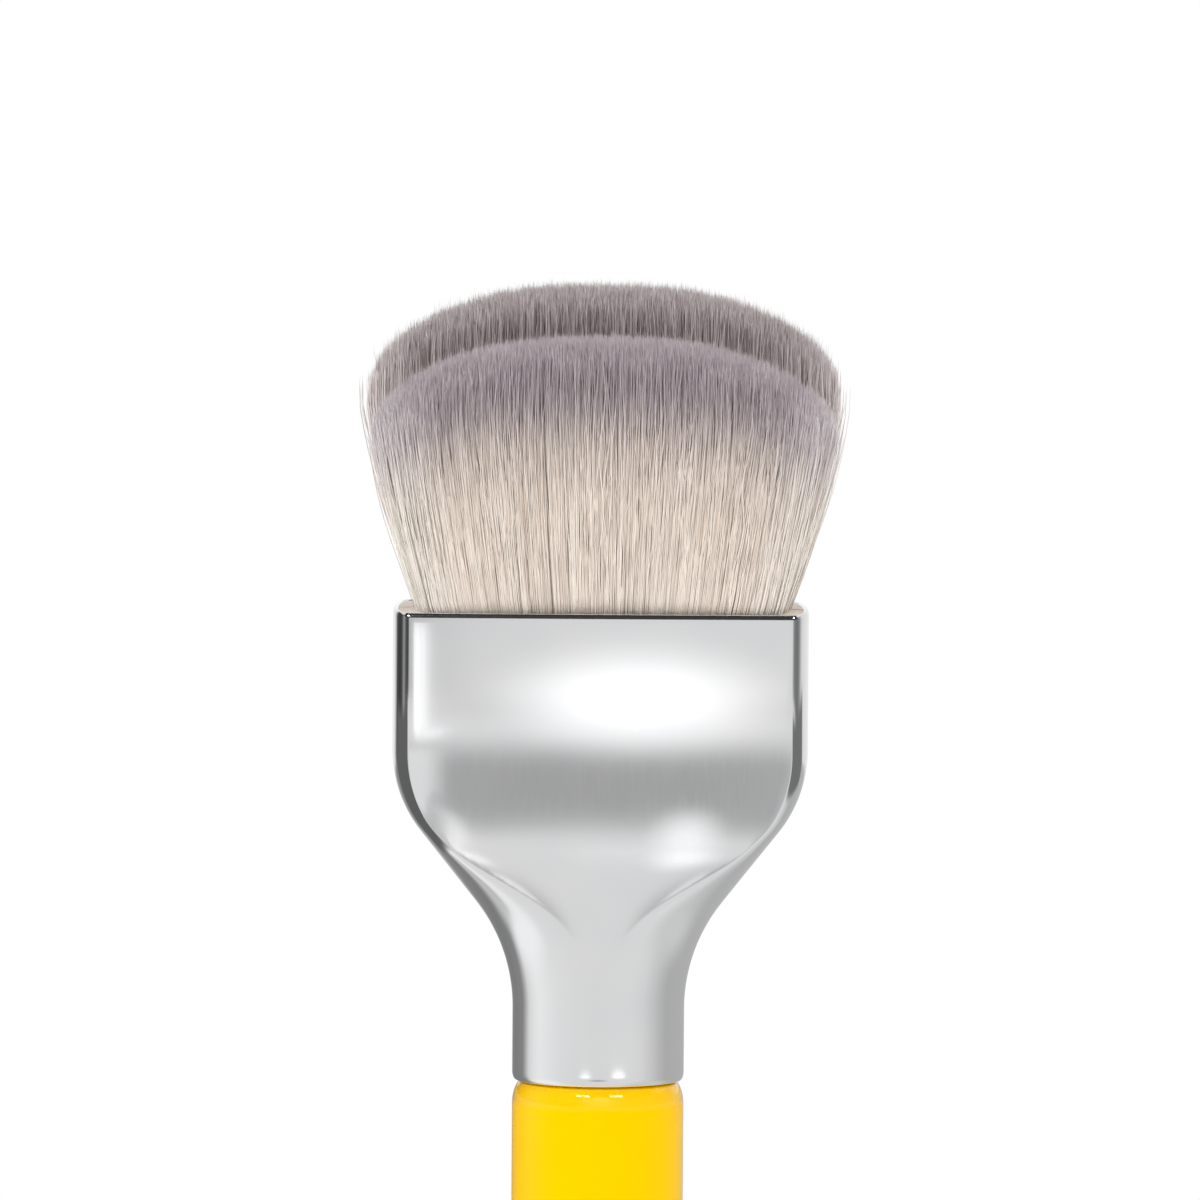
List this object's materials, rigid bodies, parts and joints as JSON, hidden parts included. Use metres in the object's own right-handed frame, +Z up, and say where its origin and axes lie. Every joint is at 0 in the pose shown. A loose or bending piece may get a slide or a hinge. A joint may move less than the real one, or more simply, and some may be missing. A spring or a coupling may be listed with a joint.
{
  "type": "blending brush",
  "caption": "Cosmetic blending brush: a shorter and a taller domed tuft side by side in a flat-mouthed metal ferrule on a round, tapered, lacquered wooden handle.",
  "frame": {"origin": "centre of the flat butt at the handle's lower end, under the brush standing upright", "axes": "+Z up the handle's axis to the tufts, +X across the wide flat of the ferrule, and -Y towards the side where the shorter tuft is"},
  "size_m": [0.04, 0.018, 0.1851],
  "materials": {
    "yellow_lacquered_wood": "gloss lacquer over turned birch",
    "polished_metal": "mirror polished",
    "clear_resin": "cast epoxy resin",
    "dyed_filament": "fine tapered filament, cream with dyed mauve-grey tips",
    "binding_thread": "waxed cotton thread"
  },
  "bodies": {
    "root": {"handle": "yellow_lacquered_wood", "ferrule": "polished_metal", "resin_plug": "clear_resin", "front_tuft": "dyed_filament", "rear_tuft": "dyed_filament", "front_binding": "binding_thread", "rear_binding": "binding_thread"}
  },
  "joints": []
}
